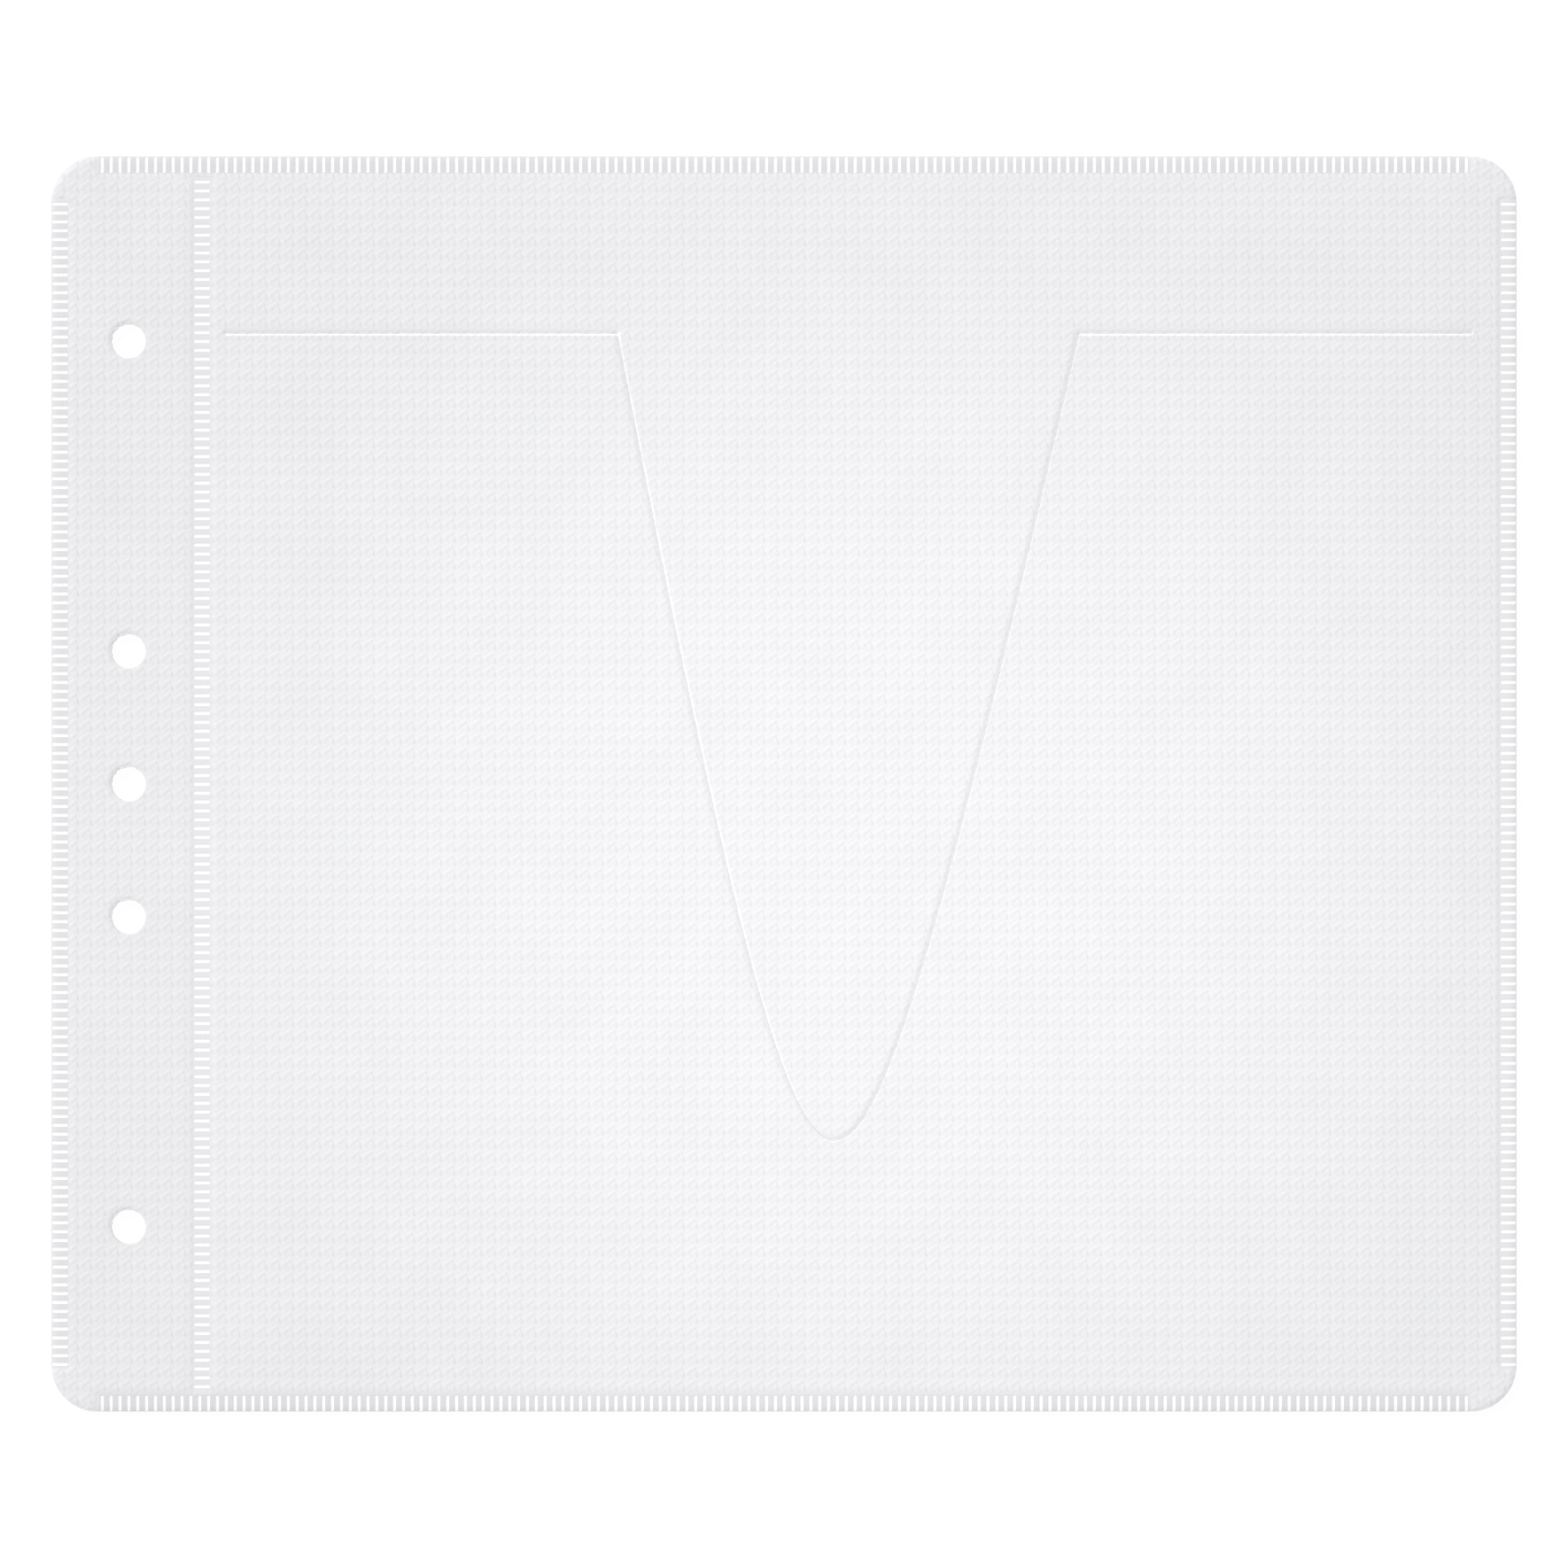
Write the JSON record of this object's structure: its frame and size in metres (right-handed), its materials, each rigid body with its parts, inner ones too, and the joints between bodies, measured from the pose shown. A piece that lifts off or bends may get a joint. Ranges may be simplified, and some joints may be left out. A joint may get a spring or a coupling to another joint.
{
  "type": "disc sleeve",
  "caption": "Flat white ring-binder page for discs: embossed film over a fleece divider, bar-welded seams, a punched binding margin and, on each face, a slit with a long hinged tongue.",
  "frame": {"origin": "under the centre of the page, on the surface that it lies on", "axes": "+X across the page away from the binding margin, +Y up the page towards the header, +Z out of the front face"},
  "size_m": [0.1654, 0.1416, 0.0012],
  "materials": {
    "film": "matt translucent polypropylene film with a fine dot emboss",
    "fleece": "soft white nonwoven",
    "weld": "fused film, pressed into bars"
  },
  "bodies": {
    "pocket": {"front_film": "film", "back_film": "film", "fleece_divider": "fleece", "top_seam": "weld", "bottom_seam": "weld", "side_seam": "weld", "margin_seam": "weld"},
    "front_tongue": {"front_tongue": "film"},
    "back_tongue": {"back_tongue": "film"},
    "binding_margin": {"margin_front_film": "film", "margin_fleece_top": "fleece", "margin_fleece_middle": "fleece", "margin_fleece_bottom": "fleece", "margin_back_film": "film", "margin_top_seam": "weld", "margin_bottom_seam": "weld", "spine_seam": "weld"}
  },
  "joints": [
    {"name": "front_tongue_lift", "type": "hinge", "parent": "pocket", "child": "front_tongue", "pos_m": [0.0057, 0.05085, 0.00115], "axis": [-1, 0, 0], "range_deg": [0, 170], "stiffness_Nm_per_rad": 0.001},
    {"name": "back_tongue_lift", "type": "hinge", "parent": "pocket", "child": "back_tongue", "pos_m": [0.0057, 0.05085, 0], "axis": [1, 0, 0], "range_deg": [0, 170], "stiffness_Nm_per_rad": 0.001},
    {"name": "margin_fold", "type": "hinge", "parent": "pocket", "child": "binding_margin", "pos_m": [-0.06705, 0, 0.00057], "axis": [0, 1, 0], "range_deg": [-90, 90], "stiffness_Nm_per_rad": 0.002}
  ]
}
